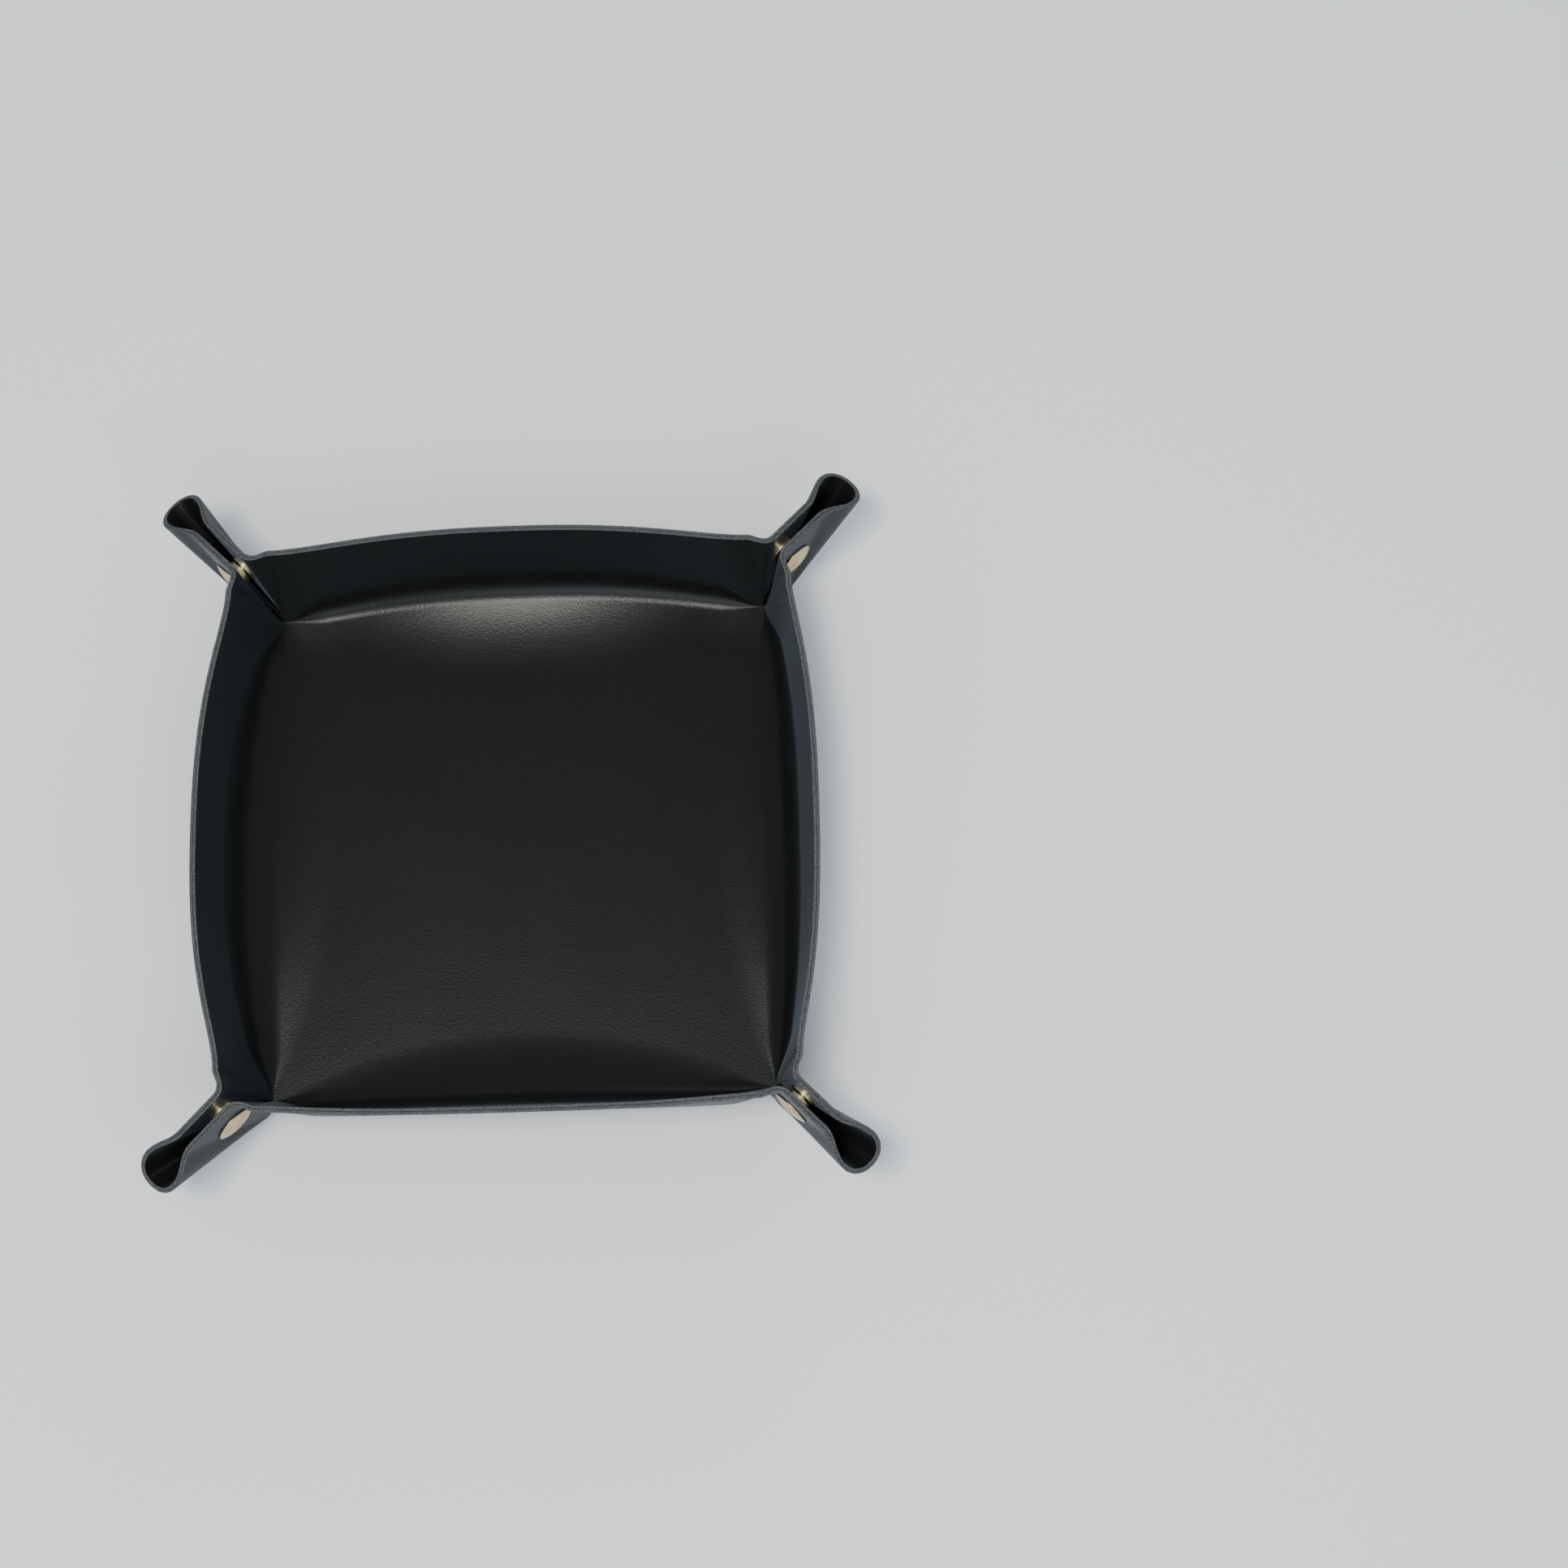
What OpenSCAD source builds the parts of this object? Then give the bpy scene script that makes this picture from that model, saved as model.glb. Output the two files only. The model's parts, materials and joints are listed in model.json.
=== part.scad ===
// Folding dice tray: one square leather sheet of two bonded plies whose four corners are pinched
// and held by press studs. Unsnapped, the sheet opens flat. Modelled snapped, which is how it is used.
// The origin is at the centre of the underside; +Z is up and +Y is the back of the tray.
// Every point of the sheet is named by its flat place (x, y) and its depth d below the upper face.

/* [Sheet] */
// Side of the flat sheet
sheet_side = 250; // [235:1:265]
// Thickness of the inner ply
lining_t = 1; // [0.8:0.1:1.2]
// Thickness of the outer ply
shell_t = 1; // [0.8:0.1:1.2]
// Corner radius of the flat sheet
corner_r = 20; // [14:1:24]

/* [Walls] */
// Height of the walls, along the leather
wall_h = 44.5; // [40:0.5:48]
// Slope of the walls beside the pinched corners
corner_slope = 79.5; // [76:0.5:82]
// Slope of the walls at the top of their middles
mid_slope = 81; // [80:0.5:84]
// Bend radius at the foot of the back wall
bend_r_back = 22; // [8:1:30]
// Bend radius at the foot of the right wall
bend_r_right = 22; // [8:1:30]
// Bend radius at the foot of the front wall
bend_r_front = 10; // [8:1:30]
// Bend radius at the foot of the left wall
bend_r_left = 29; // [8:1:30]
// How full the bow of the rim is between two corners
bow_fullness = 2.2; // [1.8:0.1:2.6]

/* [Pinched corners] */
// Gap between the two inner faces at a press stud
pinch_gap = 3.4; // [3.2:0.1:3.8]
// Angle at the base corner where the wall starts to turn into the pinch
turn_start = 85; // [83:1:86]
// Angle where the pinch becomes flat
pinch_start = 101; // [100:1:102]
// Angle where the ear starts to open into its loop
pinch_end = 116; // [115:1:117]
// How late the ear's loop closes
loop_lateness = 1.2; // [1.1:0.1:1.4]

/* [Press studs] */
// Distance of a press stud from the base corner
stud_reach = 32; // [31:0.5:33]
// Angle of a press stud at the base corner
stud_angle = 107.5; // [107:0.5:109]
// Diameter of the domed cap
cap_d = 12.5; // [11:0.5:13]
// Height of the domed cap
cap_h = 1.8; // [1.4:0.1:2.2]
// Diameter of the socket
socket_d = 9.6; // [8.5:0.1:10]
// Diameter of the socket's mouth
mouth_d = 4.5; // [4.2:0.1:4.8]
// Diameter of the stud's flange
stud_d = 9.2; // [8.5:0.1:10]
// Diameter of the stud's knob
knob_d = 3.8; // [3.4:0.1:3.9]
// Diameter of the post's head
post_d = 9.6; // [8.5:0.1:10]
// Diameter of the barrels that pass through the leather
barrel_d = 3.4; // [3:0.1:3.6]
// Diameter of the holes through the leather
hole_d = 3.6; // [3.6:0.1:4]

/* [Hidden] */
t = lining_t + shell_t;
half = sheet_side / 2;
a = half - wall_h;                 // half the side of the floor
base = [a, a, 0];                  // base corner, on the upper face
fold_gap = 2.6;                    // leather left out along the fold at the foot of a wall
floor_gap = 0.3;
side_gap = 0.45;                   // each panel's setback where wall and pinch panels meet
loop_gap = 0.8;                    // each panel's setback where pinch and ear panels meet
seam_gap = 0.25;                   // each ear panel's setback from the diagonal
wall_cut = 12;                     // height up to which a wall panel's lower corners are cut back
wall_cut_share = 0.35;             // how far they are cut back, per unit of height below that
pinch_foot_r = 10;                 // pinch panels start this far from the base corner
ear_foot_r = 13;                   // ear panels start this far from the base corner
bend_inset = 0.45;                 // share of the bend radius by which a bend starts inside its fold line
soft = 0.12;                       // softens the start of the rim's bow
seam = 135;                        // the sheet's diagonal, as an angle at the base corner
side_split = 90;                   // where the wall panel ends and the pinch panel starts
loop_split = 120;                  // where the pinch panel ends and the ear panel starts
eps = 0.001;
deg = 180 / PI;
bend_r = [bend_r_back, bend_r_right, bend_r_front, bend_r_left];

// Directions: g runs out along the back right diagonal, o points from the diagonal to the back wall
g = [1, 1, 0] / sqrt(2);
o = [-1, 1, 0] / sqrt(2);
up = [0, 0, 1];

// The wall turns into the pinch about the line where the wall's plane meets the diagonal plane
turn_rise = atan(tan(corner_slope) / sqrt(2));
turn_axis = cos(turn_rise) * g + sin(turn_rise) * up;
turn_place = seam - 45 + atan2(turn_axis.x,
    cos(corner_slope) * turn_axis.y + sin(corner_slope) * turn_axis.z);
turn_angle = acos(sin(corner_slope) / sqrt(2));
ear_rise = turn_rise - (seam - turn_place);
ear_axis = cos(ear_rise) * g + sin(ear_rise) * up;
ear_angle = 90;
pinch_foot = base + o * pinch_gap / 2;

// Centre of a turn about unit axis k by angle w that carries point p to point q
function turn_centre(p, q, k, w) = (p + q) / 2 + cross(k, q - p) / (2 * tan(w / 2));
turn_at = turn_centre(base, pinch_foot, turn_axis, turn_angle);
ear_at = turn_centre(pinch_foot, base, ear_axis, -ear_angle);

function turned(v, k, w) = v * cos(w) + cross(k, v) * sin(w) + k * (k * v) * (1 - cos(w));
function turn_about(p, c, k, w) = c + turned(p - c, k, w);
function clamp(v) = max(0, min(1, v));
function smooth(v) = let (c = clamp(v)) c * c * (3 - 2 * c);

// Share of the full bow, from 0 at a pinched corner to 1 at the middle of a wall
function bow(v) = let (c = (1 + soft) * v * v / (v + soft)) 1 - pow(1 - c, bow_fullness);
// A wall bends up about its fold line, round an arc and then straight. Returns the place of a point
// at flat place x, q along the leather from the fold line and d deep: [outwards, upwards]
function section(x, q, d, r_mid) =
    let (share = bow(clamp(1 - x / (a - q / tan(turn_start)))),
        r = r_mid * share + eps,
        slope = corner_slope + (mid_slope - corner_slope) * share,
        inset = bend_inset * r,
        lean = min((q + inset) / r * deg, slope),
        straight = max(0, q + inset - r * slope / deg))
    [-inset + r * sin(lean) + straight * cos(lean) + d * sin(lean),
        r * (1 - cos(lean)) + straight * sin(lean) - d * cos(lean)];

// Where a point of the back wall's right half, or of the back half of the right corner, lies
function snapped_half(x, y, d, r_mid) =
    let (q = y - a,
        ray = atan2(q, a - x),
        bent = section(x, q, d, r_mid),
        p1 = ray < turn_start ? [x, a + bent.x, bent.y]
            : turn_about([x, y, -d], base, [1, 0, 0], corner_slope),
        w2 = smooth((ray - turn_start) / (pinch_start - turn_start)),
        p2 = turn_about(p1, turn_at, turn_axis, w2 * turn_angle),
        w3 = smooth(pow(clamp((ray - pinch_end) / (seam - pinch_end)), loop_lateness)))
    turn_about(p2, ear_at, ear_axis, -w3 * ear_angle);
function snapped(x, y, d, r_mid) =
    let (p = snapped_half(abs(x), y, d, r_mid))
    [x < 0 ? -p.x : p.x, p.y, p.z + t];

// Length of a ray from the base corner to the sheet's edge
function ray_length(w) =
    let (e = [-cos(w), sin(w)],
        c = wall_h - corner_r,
        b = e.x * c + e.y * c,
        straight = wall_h / e.y)
    straight * e.x <= c ? straight : b + sqrt(b * b - 2 * c * c + corner_r * corner_r);
// Place on the sheet at distance r along ray w of the back right base corner
function on_ray(w, r) = [a - r * cos(w), a + r * sin(w)];

// Closed solid between two depths of a grid of flat places
module ply(places, d1, d2, r_mid = 10) {
    rows = len(places);
    cols = len(places[0]);
    n = rows * cols;
    upper = [for (row = places) for (p = row) snapped(p.x, p.y, d1, r_mid)];
    lower = [for (row = places) for (p = row) snapped(p.x, p.y, d2, r_mid)];
    quads = [for (j = [0:rows - 2]) for (i = [0:cols - 2])
        [j * cols + i, j * cols + i + 1, (j + 1) * cols + i + 1, (j + 1) * cols + i]];
    rim = concat([for (i = [0:cols - 1]) i],
        [for (j = [1:rows - 1]) j * cols + cols - 1],
        [for (i = [cols - 2:-1:0]) (rows - 1) * cols + i],
        [for (j = [rows - 2:-1:1]) j * cols]);
    polyhedron(concat(upper, lower), concat(
        [for (f = quads) [f[0], f[2], f[1]]],
        [for (f = quads) [f[0], f[3], f[2]]],
        [for (f = quads) [n + f[0], n + f[1], n + f[2]]],
        [for (f = quads) [n + f[0], n + f[2], n + f[3]]],
        [for (k = [0:len(rim) - 1]) let (u = rim[k], v = rim[(k + 1) % len(rim)]) [u, v, n + v]],
        [for (k = [0:len(rim) - 1]) let (u = rim[k], v = rim[(k + 1) % len(rim)]) [u, n + v, n + u]]));
}

wall_cols = 24;
wall_rows = 9;
wall_places = [for (j = [0:wall_rows])
    let (q = fold_gap + (wall_h - fold_gap) * pow(j / wall_rows, 1.4),
        end = a - side_gap - max(0, wall_cut - q) * wall_cut_share)
    [for (i = [0:wall_cols]) [end * sin(90 * (2 * i / wall_cols - 1)), a + q]]];

ray_cols = 8;
ray_rows = 8;
// Grid of places between two rays, from distance r0 out, each side edge set back by its gap
function fan(w1, gap1, w2, gap2, r0) = [for (j = [0:ray_rows]) [for (i = [0:ray_cols])
    let (share = i / ray_cols,
        w = w1 + (w2 - w1) * share,
        r = r0 + (ray_length(w) - r0) * j / ray_rows,
        back = asin(gap1 / r) * (1 - share) - asin(gap2 / r) * share)
    on_ray(w + back, r)]];
pinch_places = fan(side_split, side_gap, loop_split, loop_gap, pinch_foot_r);
ear_places = fan(loop_split, loop_gap, seam, seam_gap, ear_foot_r);

leather = "#1c1f21";
leather_back = "#33373a";
brass = "#b89b5e";
sides = ["back", "right", "front", "left"];
corners = ["back_right", "front_right", "front_left", "back_left"];
// On the first side of a corner the cap is on the shell, on the second side the post, or the reverse
cap_on_second = [true, true, false, false];

function side_of(c, second) = sides[(c + (second ? 1 : 0)) % 4];
function corner_node(name, c, second) = str(name, "_", corners[c], "_", side_of(c, second));

// Puts a shape made for the back right corner's back half at corner c, on either of its halves
module at_corner(c, second) {
    rotate([0, 0, -90 * c])
        if (second) mirror([1, -1, 0]) children();
        else children();
}

// Puts a shape with its axis on +Z, and z = 0 in the diagonal plane, at the press stud
module at_stud() {
    rise = ear_rise + seam - stud_angle;
    at = base + stud_reach * (cos(rise) * g + sin(rise) * up);
    translate([at.x, at.y, at.z + t]) rotate([0, 0, 45]) rotate([-90, 0, 0]) children();
}
face = pinch_gap / 2;              // inner face of the leather at the stud
back = face + t;                   // outer face of the leather at the stud
seat = 0.35;                       // caps and posts stand this far off the leather

module lining_floor() {
    color(leather) translate([0, 0, shell_t]) floor_sheet(lining_t);
}
module shell_floor() {
    color(leather_back) floor_sheet(shell_t);
}
module floor_sheet(h) {
    w = a - floor_gap;
    r = 3;
    linear_extrude(h) union() {
        square([2 * w, 2 * (w - r)], center = true);
        square([2 * (w - r), 2 * w], center = true);
        for (i = [-1, 1], j = [-1, 1]) translate([i * (w - r), j * (w - r)]) circle(r, $fn = 32);
    }
}

module lining_wall(k) {
    color(leather) rotate([0, 0, -90 * k]) ply(wall_places, 0, lining_t, bend_r[k]);
}
module shell_wall(k) {
    color(leather_back) rotate([0, 0, -90 * k]) ply(wall_places, lining_t, t, bend_r[k]);
}

module stud_hole() {
    at_stud() translate([0, 0, -1]) cylinder(h = 10, d = hole_d, $fn = 48);
}
module lining_pinch(c, second) {
    color(leather) at_corner(c, second) difference() {
        ply(pinch_places, 0, lining_t);
        stud_hole();
    }
}
module shell_pinch(c, second) {
    color(leather_back) at_corner(c, second) difference() {
        ply(pinch_places, lining_t, t);
        stud_hole();
    }
}
module lining_ear(c, second) {
    color(leather) at_corner(c, second) ply(ear_places, 0, lining_t);
}
module shell_ear(c, second) {
    color(leather_back) at_corner(c, second) ply(ear_places, lining_t, t);
}

// Domed cap with the barrel that rivets it to the socket
module cap(c) {
    r = cap_d / 2;
    lip = 0.65;
    dome = cap_h - lip;
    ball = (r * r + dome * dome) / (2 * dome);
    color(brass) at_corner(c, cap_on_second[c]) at_stud() union() {
        rotate_extrude($fn = 64) intersection() {
            translate([0, back + cap_h - ball]) circle(ball, $fn = 200);
            translate([0, back + lip]) square([r, cap_h]);
        }
        translate([0, 0, back + seat]) cylinder(h = lip - seat, r = r, $fn = 64);
        translate([0, 0, face - 0.6]) cylinder(h = t + 1, d = barrel_d, $fn = 48);
    }
}
// Ring-spring socket that the knob snaps into
module socket(c) {
    color(brass) at_corner(c, cap_on_second[c]) at_stud() difference() {
        union() {
            translate([0, 0, face - 0.8]) cylinder(h = 0.75, d = socket_d, $fn = 64);
            translate([0, 0, face - 1.9]) cylinder(h = 1.9 - 0.8, d = socket_d - 1.6, $fn = 64);
        }
        translate([0, 0, face - 3]) cylinder(h = 2.35, d = mouth_d, $fn = 48);
        translate([0, 0, face - 1]) cylinder(h = 2, d = barrel_d, $fn = 48);
    }
}
// Stud with the knob, on the other half of the pinch
module stud(c) {
    color(brass) at_corner(c, !cap_on_second[c]) at_stud() difference() {
        union() {
            translate([0, 0, face - 0.8]) cylinder(h = 0.75, d = stud_d, $fn = 64);
            translate([0, 0, -0.6]) cylinder(h = face - 0.2, d = knob_d - 0.4, $fn = 48);
            rotate_extrude($fn = 48) translate([knob_d / 2 - 0.5, -0.3]) circle(0.5, $fn = 24);
        }
        translate([0, 0, face - 1.2]) cylinder(h = 3, d = barrel_d - 1, $fn = 48);
    }
}
// Post that rivets the stud to the leather
module post(c) {
    color(brass) at_corner(c, !cap_on_second[c]) at_stud() union() {
        translate([0, 0, back + seat]) cylinder(h = 0.45, d = post_d, $fn = 64);
        translate([0, 0, back + seat + 0.45]) cylinder(h = 0.4, d1 = post_d, d2 = post_d - 1.6, $fn = 64);
        translate([0, 0, face - 1.2]) cylinder(h = t + 1.7, d = barrel_d - 1, $fn = 48);
    }
}

lining_floor();
shell_floor();
for (k = [0:3]) {
    lining_wall(k);
    shell_wall(k);
    cap(k);
    socket(k);
    stud(k);
    post(k);
}
for (c = [0:3], second = [false, true]) {
    lining_pinch(c, second);
    shell_pinch(c, second);
    lining_ear(c, second);
    shell_ear(c, second);
}
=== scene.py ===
import json
import math

import bpy
import numpy as np
from mathutils import Matrix, Vector


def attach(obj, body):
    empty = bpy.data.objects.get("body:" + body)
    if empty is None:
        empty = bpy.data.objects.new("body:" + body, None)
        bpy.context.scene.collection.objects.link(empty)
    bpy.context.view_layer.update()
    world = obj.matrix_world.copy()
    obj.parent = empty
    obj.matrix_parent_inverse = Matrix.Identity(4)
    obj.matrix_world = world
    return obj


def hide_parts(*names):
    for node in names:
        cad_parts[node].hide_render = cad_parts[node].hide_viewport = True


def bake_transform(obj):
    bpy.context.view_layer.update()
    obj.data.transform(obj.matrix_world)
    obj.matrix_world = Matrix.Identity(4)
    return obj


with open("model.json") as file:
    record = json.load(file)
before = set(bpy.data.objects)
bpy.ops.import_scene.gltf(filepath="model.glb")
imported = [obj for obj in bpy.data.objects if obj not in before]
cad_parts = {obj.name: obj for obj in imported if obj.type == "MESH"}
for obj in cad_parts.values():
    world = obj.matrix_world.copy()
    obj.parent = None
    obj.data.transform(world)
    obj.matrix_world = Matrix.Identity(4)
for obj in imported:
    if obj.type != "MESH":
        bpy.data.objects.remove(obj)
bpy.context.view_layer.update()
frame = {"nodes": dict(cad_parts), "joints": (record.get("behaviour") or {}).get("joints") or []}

MM = 0.001
joints = {j["name"]: j for j in frame["joints"]}
sides = ["back", "right", "front", "left"]
corners = ["back_right", "front_right", "front_left", "back_left"]

# ---- The flat sheet and how it is bent. Lengths in metres, angles in degrees. ----
wall_fold = joints["back_wall_fold"]
pinch_turn = joints["pinch_back_right_back_turn"]
ear_turn = joints["ear_back_right_back_turn"]
a = wall_fold["pos_m"][1]                  # half the side of the floor
thick = wall_fold["pos_m"][2]              # both plies of leather
corner_slope = wall_fold["range_deg"][1]   # slope of a wall beside a pinched corner
wall_h = 44.5 * MM
corner_r = 20 * MM
# A wall's section at its middle: the floor's margin of this width rises to this lean, the fold starts
# this far outwards of the fold line with this radius, and the wall above it has this slope.
bends = {
    "back": {"margin": 26 * MM, "lean": 14, "fold": 4 * MM, "radius": 10 * MM, "slope": 82},
    "right": {"margin": 16 * MM, "lean": 12, "fold": -2 * MM, "radius": 16 * MM, "slope": 80},
    "front": {"margin": 16 * MM, "lean": 12, "fold": -4 * MM, "radius": 12 * MM, "slope": 81},
    "left": {"margin": 18 * MM, "lean": 12, "fold": -1 * MM, "radius": 20 * MM, "slope": 80},
}
crease_r = 7 * MM                          # the fold keeps this radius to within crease_reach of a corner
crease_reach = 15 * MM
crease_set_in = 0.45                       # share of the crease's radius that its fold starts inside the line
crease_upright = 0.36                      # keeps the rim where a sharp crease would have it
bow_fullness = 2.4
bow_softness = 0.2
turn_start, pinch_start, pinch_end, seam = 85, 101, 116, 135
panel_split = 103                          # pinch panels end and ear panels start here, in the flat pinch
loop_lateness = 1.2
loop_stop = 0.88                           # below 1, the end of the loop is rounder
edge_round = 0.22 * MM                     # rounding of a ply's cut edge
glue_gap = 0.03 * MM
pucker_reach = 8 * MM                      # near a base corner the outer ply crowds together
pucker_least = 0.3
unfold_reach = 7 * MM                      # opening starts within this height of the fold line
least_radius = 0.001 * MM
least_reach = 0.01 * MM
root_gap = 0.02 * MM                       # corner panels start this far from the base corner
slope_step = 0.02 * MM                     # slopes are taken over this step, or this many degrees of a ray
slope_ray_step = 0.05

sheet_side = 2 * (a + wall_h)
base = np.array([a, a, 0.0])
lift_axis = -np.array(wall_fold["axis"])
drop = np.array([0, 0, thick])             # joints are placed from the underside
turn_axis, turn_at = -np.array(pinch_turn["axis"]), np.array(pinch_turn["pos_m"]) - drop
ear_axis, ear_at = np.array(ear_turn["axis"]), np.array(ear_turn["pos_m"]) - drop
turn_angle = math.acos(math.sin(math.radians(corner_slope)) / math.sqrt(2))
ear_angle = math.pi / 2


def turned(v, axis, angle):
    angle = np.broadcast_to(angle, v.shape[:-1])[..., None]
    along = (v @ axis)[..., None]
    return v * np.cos(angle) + np.cross(axis, v) * np.sin(angle) + axis * along * (1 - np.cos(angle))


def turn_about(p, centre, axis, angle):
    return centre + turned(p - centre, axis, angle)


def smooth(v):
    v = np.clip(v, 0, 1)
    return v * v * (3 - 2 * v)


def bow(v):
    """Share of the full bow at v, from 0 at a pinched corner to 1 at the middle of a wall."""
    c = (1 + bow_softness) * v * v / (v + bow_softness)
    return 1 - (1 - c) ** bow_fullness


def crowd(x, q):
    """Share of its depth that the leather keeps beside a base corner."""
    reach = np.hypot(a - np.abs(x), q) / pucker_reach
    return pucker_least + (1 - pucker_least) * smooth(reach)


def bend_at(x, q, bend):
    """The section's measures at flat place x, q from the fold line, as they fade out towards the corners."""
    along = np.clip(1 - np.abs(x) / (a - np.maximum(q, 0) / math.tan(math.radians(turn_start))), 0, 1)
    share = bow(along)
    crease = crease_r * smooth(along * a / crease_reach) * (1 - share)
    radius = bend["radius"] * share + crease + least_radius
    upright = crease_upright * crease / (wall_h - radius)
    return {
        "margin": bend["margin"] * share, "lean": math.radians(bend["lean"]) * share,
        "fold": bend["fold"] * share - crease_set_in * crease, "radius": radius,
        "slope": np.radians(corner_slope + (bend["slope"] - corner_slope) * share) + upright,
        "softness": share + crease / crease_r}


def section(x, q, depth, bend):
    """Distance outwards and upwards of the fold line, along the margin's arc, the fold's arc and the wall."""
    at = bend_at(x, q, bend)
    margin_r = bend["margin"] / math.radians(bend["lean"])
    margin = np.clip(q - at["fold"] + at["margin"], 0, at["margin"])
    lean = margin / margin_r
    turn = np.clip((q - at["fold"]) / at["radius"], 0, at["slope"] - at["lean"])
    straight = np.maximum(q - at["fold"] - at["radius"] * (at["slope"] - at["lean"]), 0)
    out = np.minimum(q, at["fold"] - at["margin"]) + margin_r * np.sin(lean)
    rise = margin_r * (1 - np.cos(lean))
    out += at["radius"] * (np.sin(lean + turn) - np.sin(lean)) + straight * np.cos(lean + turn)
    rise += at["radius"] * (np.cos(lean) - np.cos(lean + turn)) + straight * np.sin(lean + turn)
    return out + depth * np.sin(lean + turn), rise - depth * np.cos(lean + turn)


def surface_normal(point, u, v, step=slope_step):
    """Normal of the surface point(u, v), from its two slopes."""
    along_u = point(u + step, v) - point(u - step, v)
    along_v = point(u, v + step) - point(u, v - step)
    return unit(np.cross(along_u, along_v))


def wall_point(x, q, depth, bend):
    """(place, normal, fold weight) of a point of the back wall."""
    def upper_face(x, q):
        return np.stack([x, *section(x, q, 0, bend)], -1)
    out, rise = section(x, q, depth * crowd(x, q), bend)
    place = np.stack([x, a + out, rise], -1)
    out, rise = section(x, q, 0, bend)
    unfold = smooth(q / (unfold_reach * bend_at(x, q, bend)["softness"] + least_reach))
    weight = np.degrees(np.arctan2(rise, out)) / corner_slope * unfold
    return place + drop, surface_normal(upper_face, x, q), weight


def corner_point(ray, r, depth):
    """(place, normal, pinch weight, ear weight) at distance r along a ray from the base corner."""
    def place(ray, r, depth):
        c, s = np.cos(np.radians(ray)), np.sin(np.radians(ray))
        kept = pucker_least + (1 - pucker_least) * smooth(r / pucker_reach)
        flat = np.stack([a - r * c, a + r * s, -depth * kept], -1)
        w2 = smooth((ray - turn_start) / (pinch_start - turn_start))
        round_loop = np.clip((ray - pinch_end) / (seam - pinch_end), 0, 1) ** loop_lateness
        w3 = smooth(loop_stop * round_loop) / smooth(loop_stop)
        p = turn_about(flat, base, lift_axis, math.radians(corner_slope))
        p = turn_about(p, turn_at, turn_axis, w2 * turn_angle)
        return turn_about(p, ear_at, ear_axis, -w3 * ear_angle), w2, w3
    p, w2, w3 = place(ray, r, depth)
    none = np.zeros_like(depth)
    across = place(ray + slope_ray_step, r, none)[0] - place(ray - slope_ray_step, r, none)[0]
    along = place(ray, r + slope_step, none)[0] - place(ray, r, none)[0]
    return p + drop, unit(np.cross(across, along)), w2, w3


def unit(v):
    return v / np.maximum(np.linalg.norm(v, axis=-1, keepdims=True), 1e-12)


def ray_length(ray):
    """Distance from a base corner to the sheet's edge."""
    ex, ey = -math.cos(math.radians(ray)), math.sin(math.radians(ray))
    c = wall_h - corner_r
    straight = wall_h / ey
    if straight * ex <= c:
        return straight
    b = ex * c + ey * c
    return b + math.sqrt(b * b - 2 * c * c + corner_r * corner_r)


# ---- Materials ----
def new_material(name):
    m = bpy.data.materials.new(name)
    m.use_nodes = True
    nodes, links = m.node_tree.nodes, m.node_tree.links
    return m, nodes, links, nodes["Principled BSDF"]


def leather(name, base_rgb, rough, rough_swing, grain, grain_height):
    """Fine pebbled grain laid out on the flat sheet, with faint creasing and uneven polish."""
    m, nodes, links, shader = new_material(name)
    uv = nodes.new("ShaderNodeUVMap")
    uv.uv_map = "flat"
    pebbles = nodes.new("ShaderNodeTexVoronoi")
    pebbles.feature = "SMOOTH_F1"
    pebbles.inputs["Scale"].default_value = sheet_side / grain
    pebbles.inputs["Smoothness"].default_value = 0.6
    wander = nodes.new("ShaderNodeTexNoise")
    wander.inputs["Scale"].default_value = 90
    wander.inputs["Detail"].default_value = 4
    broad = nodes.new("ShaderNodeTexNoise")
    broad.inputs["Scale"].default_value = 9
    broad.inputs["Detail"].default_value = 5
    for n in (pebbles, wander, broad):
        links.new(uv.outputs["UV"], n.inputs["Vector"])
    polish = nodes.new("ShaderNodeMapRange")
    polish.inputs["To Min"].default_value = rough - rough_swing
    polish.inputs["To Max"].default_value = rough + rough_swing
    links.new(broad.outputs["Fac"], polish.inputs["Value"])
    links.new(polish.outputs["Result"], shader.inputs["Roughness"])
    tone = nodes.new("ShaderNodeValToRGB")
    low, high = tone.color_ramp.elements
    low.color = (*[c * 0.75 for c in base_rgb], 1)
    high.color = (*[c * 1.25 for c in base_rgb], 1)
    links.new(wander.outputs["Fac"], tone.inputs["Fac"])
    links.new(tone.outputs["Color"], shader.inputs["Base Color"])
    both = nodes.new("ShaderNodeMath")
    both.operation = "MULTIPLY_ADD"
    both.inputs[1].default_value = 0.5
    links.new(wander.outputs["Fac"], both.inputs[0])
    links.new(pebbles.outputs["Distance"], both.inputs[2])
    bump = nodes.new("ShaderNodeBump")
    bump.inputs["Strength"].default_value = 0.6
    bump.inputs["Distance"].default_value = grain_height
    links.new(both.outputs["Value"], bump.inputs["Height"])
    links.new(bump.outputs["Normal"], shader.inputs["Normal"])
    shader.inputs["Specular IOR Level"].default_value = 0.2
    shader.inputs["Sheen Weight"].default_value = 0.1
    shader.inputs["Sheen Roughness"].default_value = 0.4
    shader.inputs["Sheen Tint"].default_value = (0.72, 0.86, 1, 1)
    return m


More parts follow.
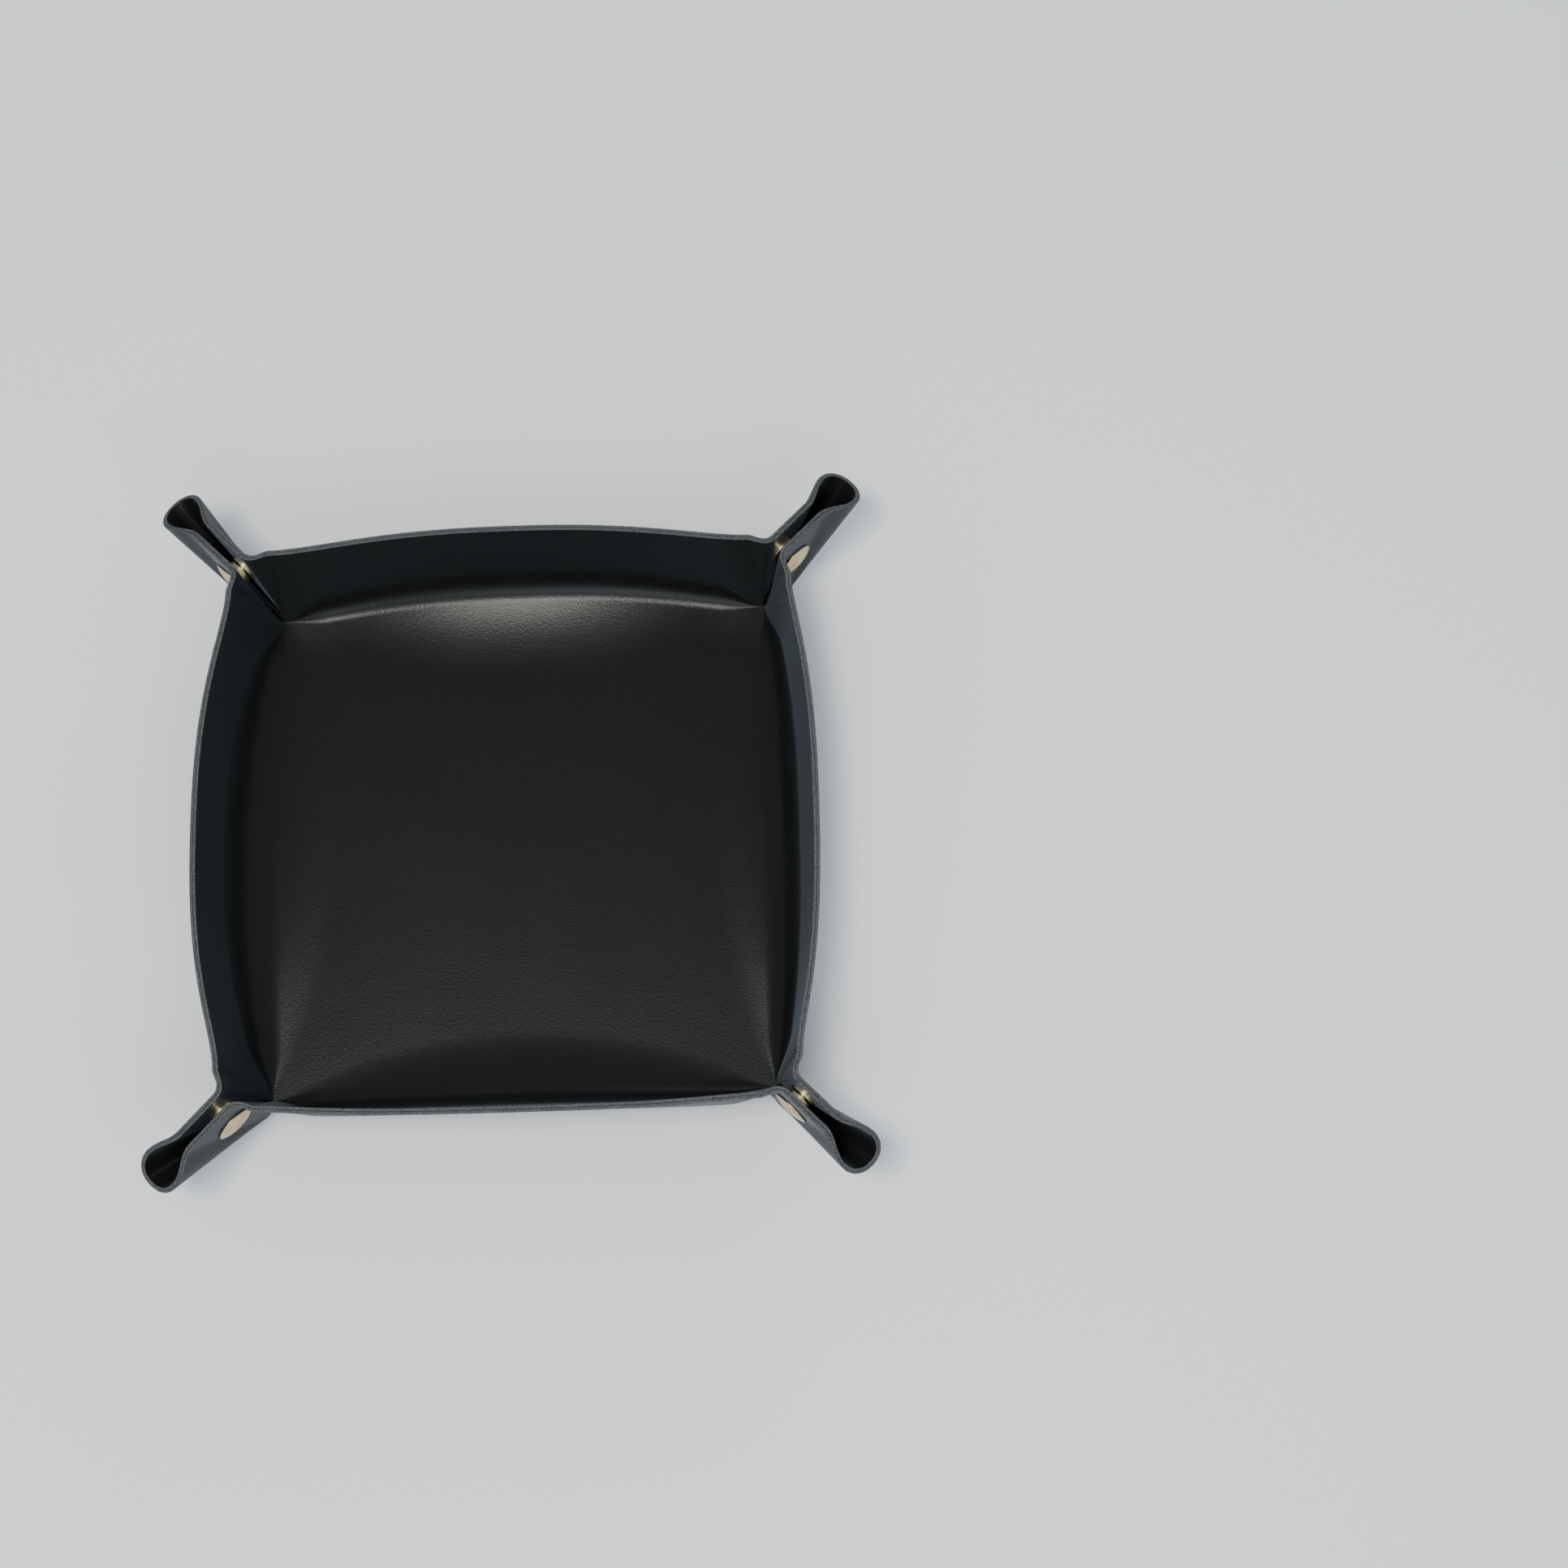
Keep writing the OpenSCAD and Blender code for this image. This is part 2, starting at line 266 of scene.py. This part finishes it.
def cut_edge(name):
    """Raw fibres of a knife-cut ply."""
    m, nodes, links, shader = new_material(name)
    place = nodes.new("ShaderNodeTexCoord")
    fibres = nodes.new("ShaderNodeTexNoise")
    fibres.inputs["Scale"].default_value = 1800
    fibres.inputs["Detail"].default_value = 3
    links.new(place.outputs["Object"], fibres.inputs["Vector"])
    tone = nodes.new("ShaderNodeValToRGB")
    low, high = tone.color_ramp.elements
    low.color = (0.028, 0.028, 0.029, 1)
    high.color = (0.105, 0.104, 0.102, 1)
    low.position, high.position = 0.3, 0.7
    links.new(fibres.outputs["Fac"], tone.inputs["Fac"])
    links.new(tone.outputs["Color"], shader.inputs["Base Color"])
    bump = nodes.new("ShaderNodeBump")
    bump.inputs["Strength"].default_value = 0.6
    bump.inputs["Distance"].default_value = 0.05 * MM
    links.new(fibres.outputs["Fac"], bump.inputs["Height"])
    links.new(bump.outputs["Normal"], shader.inputs["Normal"])
    shader.inputs["Roughness"].default_value = 0.85
    return m


def brass(name):
    """Satin plated brass with fine turning marks lost in handling wear."""
    m, nodes, links, shader = new_material(name)
    place = nodes.new("ShaderNodeTexCoord")
    wear = nodes.new("ShaderNodeTexNoise")
    wear.inputs["Scale"].default_value = 350
    wear.inputs["Detail"].default_value = 6
    links.new(place.outputs["Object"], wear.inputs["Vector"])
    tone = nodes.new("ShaderNodeValToRGB")
    low, high = tone.color_ramp.elements
    low.color = (0.42, 0.31, 0.16, 1)
    high.color = (0.68, 0.54, 0.32, 1)
    low.position, high.position = 0.3, 0.75
    links.new(wear.outputs["Fac"], tone.inputs["Fac"])
    links.new(tone.outputs["Color"], shader.inputs["Base Color"])
    shine = nodes.new("ShaderNodeMapRange")
    shine.inputs["To Min"].default_value = 0.42
    shine.inputs["To Max"].default_value = 0.26
    links.new(wear.outputs["Fac"], shine.inputs["Value"])
    links.new(shine.outputs["Result"], shader.inputs["Roughness"])
    bump = nodes.new("ShaderNodeBump")
    bump.inputs["Strength"].default_value = 0.25
    bump.inputs["Distance"].default_value = 0.02 * MM
    links.new(wear.outputs["Fac"], bump.inputs["Height"])
    links.new(bump.outputs["Normal"], shader.inputs["Normal"])
    shader.inputs["Metallic"].default_value = 1
    return m


inside_skin = leather("inside_leather", (0.0068, 0.0068, 0.0058), 0.27, 0.03, 0.55 * MM, 0.04 * MM)
outside_skin = leather("outside_leather", (0.03, 0.032, 0.034), 0.6, 0.06, 0.7 * MM, 0.05 * MM)
raw_edge = cut_edge("cut_edge")
satin_brass = brass("satin_brass")

# ---- Leather panels ----
plies = {
    "lining": {"from": 0, "to": thick / 2 - glue_gap, "skin": inside_skin, "slot": "leather_inside"},
    "shell": {"from": thick / 2 + glue_gap, "to": thick, "skin": outside_skin, "slot": "leather_outside"},
}
round_steps = 3


def profile(rows, near, far):
    """Ply's outline across a panel, from the root's upper face round the cut edge and back.
    Each entry is (row, inset from the cut edge, depth, how far the normal leans out to the edge)."""
    upper = [(k, edge_round, near, 0.0) for k in range(rows + 1)]
    for s in range(1, round_steps + 1):
        w = math.pi / 2 * s / round_steps
        upper.append((rows, edge_round * (1 - math.sin(w)), near + edge_round * (1 - math.cos(w)), w))
    lower = [(k, inset, far + near - depth, -w) for k, inset, depth, w in reversed(upper)]
    return upper + lower


def placed(v, corner, mirrored):
    """A vector made for the back of the back right corner, taken to another corner or half."""
    if mirrored:
        v = v[..., [1, 0, *range(2, v.shape[-1])]]
    for _ in range(corner):
        v = np.concatenate([v[..., 1:2], -v[..., 0:1], v[..., 2:]], -1)
    return v


def leather_object(name, points, faces, flats, normals, ply, cut=None):
    """The mesh of a ply, with the flat sheet as its UV map. cut marks the faces of the cut edge."""
    mesh = bpy.data.meshes.new(name)
    mesh.from_pydata(points.tolist(), [], faces)
    mesh.materials.append(ply["skin"])
    if cut is not None:
        mesh.materials.append(raw_edge)
        mesh.polygons.foreach_set("material_index", np.array(cut, np.int32))
    mesh.polygons.foreach_set("use_smooth", np.ones(len(faces), bool))
    layer = mesh.uv_layers.new(name="flat")
    corner_vertex = np.zeros(len(mesh.loops), np.int32)
    mesh.loops.foreach_get("vertex_index", corner_vertex)
    uv = flats[corner_vertex] / sheet_side + 0.5
    layer.data.foreach_set("uv", uv.astype(np.float32).ravel())
    mesh.normals_split_custom_set_from_vertices(normals.tolist())
    obj = bpy.data.objects.new(name, mesh)
    bpy.context.scene.collection.objects.link(obj)
    return obj


def panel(name, places, normals, flats, ply, mirrored=False):
    """Closed panel from a grid of columns by outline points."""
    cols, loop = places.shape[:2]
    faces, cut = [], []
    last_upper = loop // 2 - 1
    for i in range(cols - 1):
        for j in range(loop):
            k = (j + 1) % loop
            faces.append((i * loop + j, (i + 1) * loop + j, (i + 1) * loop + k, i * loop + k))
            cut.append(last_upper - round_steps + 1 <= j <= last_upper + round_steps - 1)
    for i, flip in ((0, True), (cols - 1, False)):
        for j in range(last_upper):
            f = [i * loop + j, i * loop + loop - 1 - j, i * loop + loop - 2 - j, i * loop + j + 1]
            faces.append(f[::-1] if flip else f)
            cut.append(False)
    if mirrored:
        faces = [f[::-1] for f in faces]
    obj = leather_object(name, places.reshape(-1, 3), faces, flats.reshape(-1, 2),
                         normals.reshape(-1, 3), ply, cut)
    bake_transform(obj)
    return obj


def leaned(normals, outward, lean):
    """Normals of a panel's outline, turned from the face's normal towards the cut edge."""
    lean = np.array(lean)
    face = np.where(np.signbit(lean), -1.0, 1.0)[..., None]
    w = np.abs(lean)[..., None]
    return unit(normals * face * np.cos(w) + outward * np.sin(w))


wall_cols, wall_bend_rows, wall_rows = 96, 16, 36
least_bend = 1.5 * MM                      # the bend's rows are spread over at least this height


def wall_panel(side, ply_name):
    ply = plies[ply_name]
    outline = profile(wall_rows, ply["from"], ply["to"])
    u = np.sin(np.pi / 2 * np.linspace(-1, 1, wall_cols + 1))
    bend = bends[side]
    at = bend_at(a * u, 0, bend)
    bend_end = least_bend + at["fold"] + at["radius"] * (at["slope"] - at["lean"])
    grid = np.zeros((len(u), len(outline), 2))
    depth = np.zeros(grid.shape[:2])
    for j, (row, inset, d, _) in enumerate(outline):
        above = (row - wall_bend_rows) / (wall_rows - wall_bend_rows)
        q = bend_end * min(row / wall_bend_rows, 1) + (wall_h - edge_round - bend_end) * max(above, 0)
        if row == wall_rows:
            q = np.full(len(u), wall_h - inset)
        grid[:, j, 0] = u * (a - q / math.tan(math.radians(turn_start)))
        grid[:, j, 1] = q
        depth[:, j] = d
    place, normal, weight = wall_point(grid[..., 0], grid[..., 1], depth, bend)
    lean = [[w for _, _, _, w in outline]] * len(u)
    tangent = np.stack([0 * normal[..., 0], normal[..., 2], -normal[..., 1]], -1)
    normal = leaned(normal, unit(tangent), lean)
    corner = sides.index(side)
    flats = grid + np.array([0, a])
    turned_flats = placed(flats, corner, False)
    name = f"{ply_name}_wall_{side}_leather"
    obj = panel(name, placed(place, corner, False), placed(normal, corner, False), turned_flats,
                ply)
    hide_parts(f"{ply_name}_wall_{side}")


corner_rows = 36
corner_row_spread = 1.3                    # above 1, rows lie closer together near the base corner


def corner_panel(corner, mirrored, ply_name, part):
    """part is pinch, the turn from the wall, or ear, from there round the loop to the diagonal."""
    ply = plies[ply_name]
    side = sides[(corner + mirrored) % 4]
    start, stop, cols = (turn_start, panel_split, 24) if part == "pinch" else (panel_split, seam, 32)
    outline = profile(corner_rows, ply["from"], ply["to"])
    rays = np.linspace(start, stop, cols + 1)
    ray = np.repeat(rays[:, None], len(outline), 1)
    reach = np.zeros_like(ray)
    for j, (row, inset, _, _) in enumerate(outline):
        share = (row / corner_rows) ** corner_row_spread
        for i, w in enumerate(rays):
            full = ray_length(w)
            reach[i, j] = full - inset if row == corner_rows else root_gap + (full - edge_round) * share
    depth = np.repeat([[d for _, _, d, _ in outline]], len(rays), 0)
    place, normal, w2, w3 = corner_point(ray, reach, depth)
    further = corner_point(ray, reach + slope_step, depth)[0]
    lean = [[w for _, _, _, w in outline]] * len(rays)
    normal = leaned(normal, unit(further - place), lean)
    c, s = np.cos(np.radians(ray)), np.sin(np.radians(ray))
    flats = placed(np.stack([a - reach * c, a + reach * s], -1), corner, mirrored)
    spot = f"{corners[corner]}_{side}"
    obj = panel(f"{ply_name}_{part}_{spot}_leather", placed(place, corner, mirrored),
                placed(normal, corner, mirrored), flats, ply, mirrored)
    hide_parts(f"{ply_name}_{part}_{spot}")


def floor_point(x, y, depth):
    """A point of the floor, which starts to curve up along each of its four sides."""
    place = np.stack([x, y, -depth * np.ones_like(x)], -1)
    for corner, side in enumerate(sides):
        u, v = [(x, y), (-y, x), (-x, -y), (y, -x)][corner]
        out, rise = section(u, v - a, depth, bends[side])
        place += placed(np.stack([0 * u, a + out - v, rise + depth], -1), corner, False)
    return place + drop


floor_cells = 72


def floor_panel(ply_name):
    ply = plies[ply_name]
    n = floor_cells
    u = a * np.sin(np.pi / 2 * np.linspace(-1, 1, n + 1))
    y, x = np.meshgrid(u, u)
    reach = np.hypot(a - np.abs(x), a - np.abs(y)) / pucker_reach
    kept = pucker_least + (1 - pucker_least) * smooth(reach)
    top = floor_point(x, y, ply["from"] * kept)
    under = floor_point(x, y, ply["to"] * kept)
    up = surface_normal(lambda x, y: floor_point(x, y, 0), x, y)
    size = (n + 1) ** 2
    at = np.arange(size).reshape(n + 1, n + 1)
    faces = []
    for i in range(n):
        for j in range(n):
            f = (at[i, j], at[i + 1, j], at[i + 1, j + 1], at[i, j + 1])
            faces.append(f)
            faces.append(tuple(v + size for v in f[::-1]))
    for line in (at[:, 0], at[-1], at[::-1, -1], at[0, ::-1]):
        for p, q in zip(line[:-1], line[1:]):
            faces.append((p, p + size, q + size, q))
    name = f"{ply_name}_floor_leather"
    points = np.concatenate([top.reshape(-1, 3), under.reshape(-1, 3)])
    normals = np.concatenate([up.reshape(-1, 3), -up.reshape(-1, 3)])
    faces = [tuple(int(v) for v in f) for f in faces]
    obj = leather_object(name, points, faces, points[:, :2], normals, ply)
    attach(obj, "floor")
    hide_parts(f"{ply_name}_floor")


for ply_name in plies:
    floor_panel(ply_name)
    for side in sides:
        wall_panel(side, ply_name)
    for corner in range(4):
        for mirrored in (0, 1):
            for part in ("pinch", "ear"):
                corner_panel(corner, mirrored, ply_name, part)

# ---- Press studs: the CAD pieces, in brass ----
stud_softness = 0.12 * MM
for kind in ("cap", "socket", "stud", "post"):
    for corner_name in corners:
        metal = frame["nodes"][f"{kind}_{corner_name}"]
        metal.data.materials.clear()
        metal.data.materials.append(satin_brass)
        soften = metal.modifiers.new("soften", "BEVEL")
        soften.width = stud_softness
        soften.segments = 3
        soften.limit_method = "ANGLE"
        soften.angle_limit = math.radians(35)

# ---- Camera ----
azimuth, elevation, roll = 5.834, 75.038, -7.433
distance, aim = 0.91711, Vector((0.086054, 0.013898, 0.022))
sensor_mm, lens_mm = 36, 65.72
az, el = math.radians(azimuth), math.radians(elevation)
back = Vector((math.sin(az) * math.cos(el), -math.cos(az) * math.cos(el), math.sin(el)))
right = (-back).cross(Vector((0, 0, 1))).normalized()
up = right.cross(-back)
tilt = math.radians(roll)
camera_x = right * math.cos(tilt) + up * math.sin(tilt)
camera_y = -right * math.sin(tilt) + up * math.cos(tilt)
camera = bpy.data.objects.new("camera", bpy.data.cameras.new("camera"))
bpy.context.scene.collection.objects.link(camera)
camera.matrix_world = Matrix.Translation(aim + back * distance) @ Matrix(
    (camera_x, camera_y, back)).transposed().to_4x4()
camera.data.sensor_width = sensor_mm
camera.data.lens = lens_mm
bpy.context.scene.camera = camera

# ---- Floor and light ----
ground = bpy.data.materials.new("pale_floor")
ground.use_nodes = True
ground_shader = ground.node_tree.nodes["Principled BSDF"]
ground_shader.inputs["Base Color"].default_value = (0.9, 0.9, 0.89, 1)
ground_shader.inputs["Roughness"].default_value = 0.7
table = bpy.data.meshes.new("table")
span = 3.0
table_gap = 0.2 * MM                       # keeps the table's face off the leather's underside
table_corners = [(-span, -span, 0), (span, -span, 0), (span, span, 0), (-span, span, 0)]
table.from_pydata(table_corners, [], [(0, 1, 2, 3)])
table.materials.append(ground)
table_top = bpy.data.objects.new("table", table)
bpy.context.scene.collection.objects.link(table_top)
table_top.location.z = -table_gap


def softbox(name, place, size, watts, tint):
    lamp = bpy.data.lights.new(name, "AREA")
    lamp.shape = "RECTANGLE"
    lamp.size, lamp.size_y = size
    lamp.energy = watts
    lamp.color = tint
    obj = bpy.data.objects.new(name, lamp)
    bpy.context.scene.collection.objects.link(obj)
    obj.location = place
    obj.rotation_euler = (-Vector(place)).to_track_quat("-Z", "Y").to_euler()


softbox("ceiling", (-0.18, -0.28, 1.6), (0.5, 0.36), 18, (1.0, 0.99, 0.93))
softbox("window", (0.3, -1.25, 1.35), (1.4, 0.8), 12, (0.85, 0.93, 1.0))
softbox("far_window", (0.9, 1.9, 0.7), (1.6, 0.6), 9, (1.0, 1.0, 1.0))
world = bpy.data.worlds.new("world")
world.use_nodes = True
world.node_tree.nodes["Background"].inputs["Color"].default_value = (0.74, 0.86, 1.0, 1)
world.node_tree.nodes["Background"].inputs["Strength"].default_value = 0.6
bpy.context.scene.world = world
